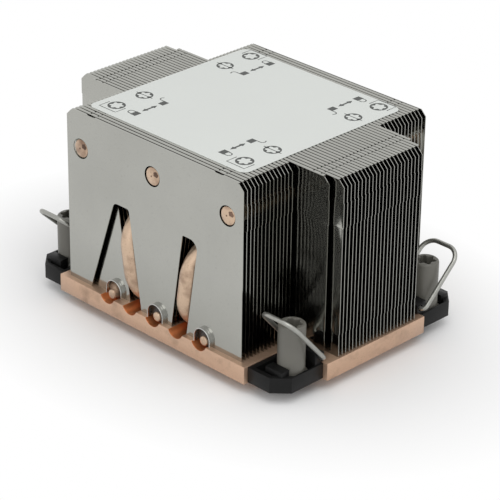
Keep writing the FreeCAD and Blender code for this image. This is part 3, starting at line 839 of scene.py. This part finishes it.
class HEATSINK_OT_collars(bpy.types.Operator):
    """Bright arched collars over the sealed ends of the pipes, with a flared lip"""

    bl_idname = "heatsink.collars"
    bl_label = "Collars"

    def execute(self, context):
        size = sizes()
        foot, _ = fin_heights()
        profile, steps = self.profile(), 28
        for number, line in pipe_lines().items():
            row, height = arch_middle(line)
            face = -line["side"] * (stack_half() - (size.fin_pitch if number == FLARED_END else 0.0))
            stations = [(height, math.pi * k / steps) for k in range(steps + 1)]
            stations = [(foot, 0.0), *stations, (foot, math.pi)]
            points = [(face + line["side"] * x, row + radius * math.cos(angle),
                       middle + radius * math.sin(angle))
                      for middle, angle in stations for x, radius in profile]
            faces = band(len(stations), len(profile))
            faces += [end[::-1] for end in ends(len(stations), len(profile))]
            mesh = mesh_from(f"collar_{number}", points, faces)
            new_piece(f"collar_{number}", shade_smooth(mesh, 50), "collar")
            # Flux residue with painted shade in the hollow under the collar.
            self.flux_and_shade(number, line, face)
        return {"FINISHED"}

    def profile(self):
        """Section of a collar, with a waist and a rounded lip: out from the fin, and radius."""
        size = sizes()
        inner, wall, reach = size.collar_radius, size.collar_wall, size.collar_reach
        outer, lip, waist = inner + wall, wall * 0.4, wall * 0.5
        return [(0.0, inner), (-reach + lip, inner), (-reach, inner + lip), (-reach, outer - lip),
                (-reach + lip, outer), (-reach * 0.55, outer - waist * 0.5),
                (-reach * 0.3, outer - waist), (0.0, outer - waist * 0.6)]

    def flux_and_shade(self, number, line, face):
        """Dark sheet round a sealed end, from the pipe out to the collar: flux residue with painted
        shade in the hollow under the collar.
        """
        size = sizes()
        nub, inner = size.nub_diameter / 2, size.collar_radius
        start, foot = line["low_row"] - line["side"] * size.nub_shift, line["low_run"]
        row, height = arch_middle(line)
        # Radius, depth, and share of the way from the sealed end's middle to the collar's.
        rings = [(nub * 0.9, -0.3 * MM, 0.0), (nub * 1.15, -0.2 * MM, 0.0),
                 (inner * 0.75, 0.3 * MM, 0.6), (inner - 0.02 * MM, 0.5 * MM, 1.0)]
        points, faces = lathe([ring[:2] for ring in rings], size.ring_sides)
        placed = []
        for i, (y, z, deep) in enumerate(points):
            share = rings[i // size.ring_sides][2]
            placed.append((face + line["side"] * deep, start + (row - start) * share + y,
                           foot + (height - foot) * share + z))
        mesh = mesh_from(f"flux_{number}", placed, faces)
        new_piece(f"flux_{number}", shade_smooth(mesh, 60), "flux_and_shade")


def pipe_path(line):
    """Points of a pipe's middle line, the normal of its plane and the radius at each point."""
    size = sizes()
    radius, nub, bend = size.pipe_diameter / 2, size.nub_diameter / 2, size.bend_radius
    waist = radius - size.end_waist
    # Millimetres from the sealed tip, and from the face of the upper end, each with a radius.
    taper = ((0.0, nub * 0.55), (0.12, nub * 0.86), (0.35, nub), (0.8, nub * 1.02),
             (1.5, nub * 1.12), (2.4, radius * 0.74), (3.0, radius * 0.9), (3.6, radius))
    upper = ((3.0, radius), (1.6, waist), (0.25, waist), (0.08, waist * 0.985), (0.0, waist * 0.94))
    rise = Vector((0, line["row"] - line["low_row"], line["height"] - line["low_run"]))
    gap = rise.length
    turn, lead = line["turn"] - bend, 3 * MM
    tip, face = -line["tip"], -stack_half() + size.end_inset
    bends = arc((turn, bend), bend, -90, 0, 20) + arc((turn, gap - bend), bend, 0, 90, 20)
    places = [(tip + along * MM, 0.0) for along, _ in taper]
    places += [(turn - lead, 0.0), *bends, (turn - lead, gap)]
    places += [(face + along * MM, gap) for along, _ in upper]
    radii = [reach for _, reach in taper] + [radius] * (len(bends) + 2) + [reach for _, reach in upper]
    run, up = Vector((line["side"], 0, 0)), rise.normalized()
    origin = Vector((0, line["low_row"], line["low_run"]))
    points = [origin + run * x + up * y for x, y in places]
    shift_from, shift_over = 3.0, 1.5
    for point, (along, _) in zip(points, taper):
        point.y -= line["side"] * size.nub_shift * clamped((shift_from - along) / shift_over)
    return points, run.cross(up), radii


class HEATSINK_OT_heat_pipes(bpy.types.Operator):
    """Bent copper pipes with swaged ends, and the weld marks on the ends that show"""

    bl_idname = "heatsink.heat_pipes"
    bl_label = "Heat pipes"

    def execute(self, context):
        for number, line in pipe_lines().items():
            points, normal, radii = pipe_path(line)
            made, faces = tube(points, normal, radii, sizes().ring_sides)
            mesh = mesh_from(f"pipe_{number}", made, faces)
            new_piece(f"pipe_{number}", shade_smooth(mesh, 50), "pipe_copper",
                      stands_for=(f"heat_pipe_{number}",))
            self.weld(number, line)
        return {"FINISHED"}

    def weld(self, number, line):
        """A flat lump and a small dot on the end of a pipe."""
        face = -line["side"] * (stack_half() - sizes().end_inset)
        # Left, up, half width and half height of each, in millimetres.
        lumps = ((-1.25, 0.95, 1.0, 0.85), (0.55, -0.1, 0.28, 0.28))
        thick, back, uneven = 0.09, -0.3, 0.12
        noise = random.Random(number)
        made = bmesh.new()
        for y, z, wide, tall in lumps:
            lump = bmesh.ops.create_uvsphere(made, u_segments=20, v_segments=12, radius=1.0)
            phase = noise.random()
            for vertex in lump["verts"]:
                out, left, up = vertex.co
                bend = 1.0 + uneven * math.sin(5 * left + 3 * up + phase)
                vertex.co = (face - line["side"] * max(out, back) * thick * MM,
                             line["row"] + (y + left * wide * bend) * MM,
                             line["height"] + (z + up * tall * bend) * MM)
        mesh = mesh_of(f"weld_{number}", made)
        new_piece(f"weld_{number}", shade_smooth(mesh), "weld")


def rounded_copy(node, name, material, width, shape=None):
    """A copy of a node's shape, changed point by point if asked, with its sharp edges rounded."""
    mesh = frame["nodes"][node].data.copy()
    made = bmesh.new()
    made.from_mesh(mesh)
    if shape:
        for vertex in made.verts:
            shape(vertex.co)
    bmesh.ops.remove_doubles(made, verts=made.verts, dist=SAME_PLACE)
    flat, sharp = math.radians(1.0), math.radians(30)
    bmesh.ops.dissolve_limit(made, angle_limit=flat, verts=made.verts, edges=made.edges)
    edges = [e for e in made.edges if len(e.link_faces) == 2 and e.calc_face_angle(0.0) > sharp]
    bmesh.ops.bevel(made, geom=edges, offset=width, segments=2, profile=0.5, affect="EDGES",
                    clamp_overlap=True)
    made.to_mesh(mesh)
    made.free()
    return new_piece(name, shade_smooth(mesh, 40), material, ROOT, (node,))


class HEATSINK_OT_base(bpy.types.Operator):
    """Copper base with softly broken edges"""

    bl_idname = "heatsink.base"
    bl_label = "Base"

    def execute(self, context):
        rounded_copy("base_plate", "base", "plate_copper", width=0.18 * MM)
        return {"FINISHED"}


class HEATSINK_OT_brackets(bpy.types.Operator):
    """Moulded corner brackets with rounded edges, their towers and lugs kept low"""

    bl_idname = "heatsink.brackets"
    bl_label = "Brackets"

    def execute(self, context):
        for corner in CORNERS:
            rounded_copy(f"bracket_{corner}", f"corner_{corner}", "satin_black",
                         width=0.16 * MM, shape=self.lower)
        return {"FINISHED"}

    def lower(self, point):
        """Bring the top of a hinge tower, or of the lug beyond the nut, down on its foot."""
        lug_foot, lug_share, lug_overlap = 8.6 * MM, 0.4, 0.6 * MM
        tower_foot, tower_share = 11.6 * MM, 0.15
        lug = abs(point.x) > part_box("nut_front_right")[1].x - lug_overlap
        foot, share = (lug_foot, lug_share) if lug else (tower_foot, tower_share)
        if point.z > foot:
            point.z = foot + (point.z - foot) * share


class HEATSINK_OT_nuts(bpy.types.Operator):
    """Captive nuts with a six-lobe socket and a rounded rim"""

    bl_idname = "heatsink.nuts"
    bl_label = "Nuts"

    def execute(self, context):
        size = sizes()
        edge, flange_top, cove = 0.15 * MM, 1.1 * MM, 0.4 * MM
        lobe_depth, sides = 0.14, 96
        for corner in CORNERS:
            low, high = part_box(f"nut_{corner}")
            middle = (low + high) / 2
            flange, barrel = (high.x - low.x) / 2, size.nut_diameter / 2
            foot, top, floor = low.z, high.z, high.z - size.socket_depth
            outside = [(flange - edge, foot), (flange, foot + edge),
                       (flange, foot + flange_top - edge), (flange - edge, foot + flange_top),
                       (barrel + 0.3 * MM, foot + flange_top), (barrel, foot + flange_top + cove),
                       (barrel, top - 0.7 * MM), (barrel - 0.12 * MM, top - 0.3 * MM),
                       (barrel - 0.4 * MM, top - 0.05 * MM), (barrel - 0.7 * MM, top)]
            socket = [(3.2 * MM, top), (3.05 * MM, top - 0.15 * MM), (3.0 * MM, top - 0.5 * MM),
                      (2.9 * MM, floor), (0.6 * MM, floor - 0.3 * MM)]

            def lobes(number, radius, angle):
                return radius if number < len(outside) else six_lobed(radius, angle, lobe_depth)

            points, faces = lathe(outside + socket, sides, lobes)
            mesh = mesh_from(f"captive_nut_{corner}", points, faces)
            mesh.transform(Matrix.Translation((middle.x, middle.y, 0)))
            new_piece(f"captive_nut_{corner}", shade_smooth(mesh, 50), "moulded_grey",
                      f"nut_{corner}", (f"nut_{corner}",))
        return {"FINISHED"}


def bail_path():
    """Middle line of a bail in its own plane: across from the hinge, along the hinge."""
    size = sizes()
    side, leg = size.bail_width / 2, size.bail_leg
    bend, foot = size.bail_bend, size.foot_bend
    blunt_tip = 0.6 * MM
    half = [(0.0, size.foot_inset), (0.0, size.foot_inset + blunt_tip)]
    half += arc((foot, side - foot), foot, 180, 90, 8)
    half += arc((leg - bend, side - bend), bend, 90, 0, 12)
    return half + [(x, -y) for x, y in half[::-1]]


class HEATSINK_OT_bails(bpy.types.Operator):
    """Wire bails, each swinging on two feet turned in to its bracket"""

    bl_idname = "heatsink.bails"
    bl_label = "Bails"

    def execute(self, context):
        size = sizes()
        wire, tip_share, sides = size.wire_diameter / 2, 0.8, 20
        for joint in frame["joints"]:
            if not joint["name"].startswith("bail_swing"):
                continue
            node = joint["child"]
            low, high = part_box(node)
            hinge = Vector(joint["pos_m"])
            outward = 1 if hinge.x > 0 else -1
            far = high.x if outward > 0 else low.x
            angle = math.atan2(high.z - wire - hinge.z, abs(far - hinge.x) - wire)
            angle += size.bail_lift if node == LIFTED_BAIL else -size.bail_droop
            run = Vector((outward * math.cos(angle), 0, math.sin(angle)))
            along = Vector((0, 1, 0))
            points = [hinge + run * x + along * y for x, y in bail_path()]
            radii = [wire] * len(points)
            radii[0] = radii[-1] = wire * tip_share
            made, faces = tube(points, run.cross(along), radii, sides)
            mesh = mesh_from(f"wire_{node}", made, faces)
            new_piece(f"wire_{node}", shade_smooth(mesh, 60), "drawn_wire", node, (node,))
        return {"FINISHED"}


# Label

class HEATSINK_OT_label(bpy.types.Operator):
    """Label film with plain printed marks at its corners"""

    bl_idname = "heatsink.label"
    bl_label = "Label"

    def execute(self, context):
        low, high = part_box("label")
        size = sizes()
        corner = size.label_corner
        outline = rounded([(low.x, low.y), (high.x, low.y), (high.x, high.y), (low.x, high.y)],
                          (corner,) * 4, steps=8)
        flat = flat_piece([outline], high.z - low.z)
        flat.transform(Matrix.Translation((0, 0, low.z)))
        new_piece("label_film", flat, "label_film", stands_for=("label",))
        self.marks(low, high)
        return {"FINISHED"}

    def marks(self, low, high):
        """The marks of one corner, turned to face each corner."""
        film = 0.01 * MM
        middle = (low + high) / 2
        place = Matrix.Translation((middle.x + sizes().marks_shift, middle.y, high.z))
        made = bmesh.new()
        for across in (-1, 1):
            for along in (-1, 1):
                for loops in corner_marks():
                    mesh = flat_piece(loops, film)
                    mesh.transform(Matrix.Diagonal((across, along, 1, 1)))
                    if across * along < 0:
                        mesh.flip_normals()
                    mesh.transform(place)
                    made.from_mesh(mesh)
                    bpy.data.meshes.remove(mesh)
        new_piece("label_marks", mesh_of("label_marks", made), "ink")


def flat_piece(loops, thickness):
    """A flat shape lying on Z 0, its outline first and then its holes."""
    made = cut_sheet(loops[0], loops[1:], thickness)
    for vertex in made.verts:
        x, y, z = vertex.co
        vertex.co = (y, z, x)
    return mesh_of("flat", made)


def stroke(points, width):
    """Outline of an open line of a given width."""
    left, right = [], []
    for i, point in enumerate(points):
        here = Vector(point)
        before = Vector(points[max(i - 1, 0)])
        after = Vector(points[min(i + 1, len(points) - 1)])
        ahead = (after - before).normalized()
        side = Vector((-ahead.y, ahead.x)) * width / 2
        left.append(tuple(here + side))
        right.append(tuple(here - side))
    return left + right[::-1]


def in_mm(points):
    return [(x * MM, y * MM) for x, y in points]


def ring_loops(centre, radius, rim):
    """A printed disc with a six-lobed star left open, its lobes a rim's width from the edge."""
    lobe_depth, sides = 0.16, 48
    star = []
    for k in range(sides):
        angle = 2 * math.pi * k / sides
        reach = six_lobed(radius - rim, angle, lobe_depth)
        star.append((centre[0] + reach * math.cos(angle), centre[1] + reach * math.sin(angle)))
    return [in_mm(circle(centre, radius, sides)), in_mm(star)]


def corner_marks():
    """Marks of one corner, from the middle of all marks outward, as outlines with holes.

    The numbers are millimetres. Outer and inner are the two marks' places across."""
    outer, inner = 27.4, 16.5
    ring_row, row = 26.45, 18.2
    fine, bold = 0.34, 0.7
    reach, lead, far = 3.45, 0.35, 31.05
    frame_line = [(outer - lead, ring_row - reach), (far, ring_row - reach),
                  (far, ring_row + reach), (outer - lead, ring_row + reach)]
    cross_line = [(inner, ring_row - reach), (inner, ring_row + reach)]
    tip, back, head = 3.0, 1.2, 0.85
    middle = (outer + inner) / 2
    half = [(tip, 0), (back, head), (back, bold / 2)]
    arrow = half + [(-x, y) for x, y in half[::-1]]
    arrow += [(x, -y) for x, y in arrow[-2:0:-1]]
    tall, wide, bow = 1.05, 1.3, 0.95
    shoulder, bow_height, swung_height, hinge_in = row + tall, 0.9, 1.2, 0.15
    bodies = [[(place - wide, row - tall), (place + wide, row - tall), (place + wide, shoulder),
               (place - wide, shoulder)] for place in (outer, inner)]
    shackle = [(outer - bow, shoulder), *arc((outer, shoulder + bow_height), bow, 180, 0, 10),
               (outer + bow, shoulder)]
    hinge = inner - wide + hinge_in
    swung = [(hinge, shoulder), *arc((hinge - bow, shoulder + swung_height), bow, 0, 150, 8)]
    shapes = [stroke(frame_line, fine), stroke(cross_line, fine),
              [(middle + x, row + y) for x, y in arrow], *bodies, stroke(shackle, fine),
              stroke(swung, fine)]
    rings = [ring_loops((outer, ring_row), 2.7, 0.5), ring_loops((inner, ring_row), 2.65, 0.42)]
    return rings + [[in_mm(shape)] for shape in shapes]


# Stage

class HEATSINK_OT_stage(bpy.types.Operator):
    """Pale floor, soft studio light and the camera of the photograph"""

    bl_idname = "heatsink.stage"
    bl_label = "Stage"

    def execute(self, context):
        self.floor()
        self.world()
        self.lamps()
        self.camera()
        context.scene.view_settings.view_transform = "Standard"
        return {"FINISHED"}

    def floor(self):
        """White floor that fades into the white background away from the object."""
        points = [(-3, -3, 0), (3, -3, 0), (3, 3, 0), (-3, 3, 0)]
        mesh = mesh_from("floor", points, [(0, 1, 2, 3)])
        material, tree, shader = new_material("floor")
        connect(tree, shader, {"Base Color": colours().floor, "Roughness": 0.9,
                               "Specular IOR Level": 0.1})
        fade_from, fade_to = 1.1, 2.1
        half = frame_half()
        share = add_node(tree, "VectorMath", {0: object_place(tree), 1: (half.x, half.y, 1.0)},
                         operation="DIVIDE").outputs["Vector"]
        reach = add_node(tree, "VectorMath", {0: share}, operation="LENGTH").outputs["Value"]
        glow = add_node(tree, "Emission").outputs["Emission"]
        mix = add_node(tree, "MixShader", {0: spread(tree, reach, 0.0, 1.0, fade_from, fade_to),
                                           1: shader.outputs["BSDF"], 2: glow})
        connect(tree, tree.nodes["Material Output"], {"Surface": mix.outputs["Shader"]})
        mesh.materials.append(material)
        piece = add_object("floor", mesh)

    def world(self):
        """Plain light, with a white background for the camera and for reflections."""
        light, white = 0.6, 1.0
        world = bpy.data.worlds.new("studio")
        world.use_nodes = True
        bpy.context.scene.world = world
        tree = world.node_tree
        plain = connect(tree, tree.nodes["Background"], {"Color": (1, 1, 1), "Strength": light})
        pale = add_node(tree, "Background", {"Color": (1, 1, 1), "Strength": white})
        path = add_node(tree, "LightPath").outputs
        seen = reckon(tree, "MAXIMUM", path["Is Camera Ray"], path["Is Transmission Ray"])
        mix = add_node(tree, "MixShader", {0: reckon(tree, "MAXIMUM", seen, path["Is Glossy Ray"]),
                                           1: plain.outputs["Background"],
                                           2: pale.outputs["Background"]})
        connect(tree, tree.nodes["World Output"], {"Surface": mix.outputs["Shader"]})

    def lamps(self):
        """A broad key from above, a soft fill on the left face and one on the front."""
        target = Vector((0, 0, 0.03))
        for name, place, size, power in (
                ("key", (-0.15, -0.25, 0.7), 0.6, 1.9),
                ("left_fill", (-0.75, -0.1, 0.35), 0.5, 0.3),
                ("front_fill", (0.25, -0.8, 0.3), 0.4, 0.2)):
            lamp = bpy.data.lights.new(name, "AREA")
            lamp.size = size
            lamp.energy = power
            holder = add_object(name, lamp)
            holder.location = place
            aim = target - Vector(place)
            holder.rotation_euler = aim.to_track_quat("-Z", "Y").to_euler()

    def camera(self):
        """The photograph's view: place, turn, tilt and roll."""
        place = Vector((-0.443927, -0.444694, 0.3373))
        turn, tilt, roll = (math.radians(a) for a in (-45.091, 26.953, 0.783))
        focal_pixels, picture_pixels, sensor = 2359.2, 500.0, 36.0
        look = Vector((-math.sin(turn) * math.cos(tilt), math.cos(turn) * math.cos(tilt),
                       -math.sin(tilt)))
        right = Vector((math.cos(turn), math.sin(turn), 0))
        up = right.cross(look)
        right_rolled = math.cos(roll) * right + math.sin(roll) * up
        up_rolled = -math.sin(roll) * right + math.cos(roll) * up
        lens = bpy.data.cameras.new("camera")
        lens.sensor_width = sensor
        lens.lens = focal_pixels / picture_pixels * sensor
        holder = add_object("camera", lens)
        axes = Matrix((right_rolled, up_rolled, -look)).transposed().to_4x4()
        holder.matrix_world = Matrix.Translation(place) @ axes
        bpy.context.scene.camera = holder


class HEATSINK_PT_panel(bpy.types.Panel):
    """The steps of the build, in order"""

    bl_idname = "HEATSINK_PT_panel"
    bl_label = "Heatsink"
    bl_space_type = "VIEW_3D"
    bl_region_type = "UI"
    bl_category = "Heatsink"

    def draw(self, context):
        for operator in OPERATORS:
            self.layout.operator(operator.bl_idname)


OPERATORS = (HEATSINK_OT_fins, HEATSINK_OT_collars, HEATSINK_OT_heat_pipes, HEATSINK_OT_base,
             HEATSINK_OT_brackets, HEATSINK_OT_nuts, HEATSINK_OT_bails, HEATSINK_OT_label,
             HEATSINK_OT_stage)
CLASSES = (HeatsinkSizes, HeatsinkColours, *OPERATORS, HEATSINK_PT_panel)


def register():
    for item in CLASSES:
        bpy.utils.register_class(item)
    bpy.types.Scene.heatsink_sizes = PointerProperty(type=HeatsinkSizes)
    bpy.types.Scene.heatsink_colours = PointerProperty(type=HeatsinkColours)


def unregister():
    del bpy.types.Scene.heatsink_colours
    del bpy.types.Scene.heatsink_sizes
    for item in reversed(CLASSES):
        bpy.utils.unregister_class(item)


def main():
    """Build every piece."""
    register()
    bpy.ops.heatsink.fins()
    bpy.ops.heatsink.collars()
    bpy.ops.heatsink.heat_pipes()
    bpy.ops.heatsink.base()
    bpy.ops.heatsink.brackets()
    bpy.ops.heatsink.nuts()
    bpy.ops.heatsink.bails()
    bpy.ops.heatsink.label()
    bpy.ops.heatsink.stage()


if __name__ == "__main__":
    main()
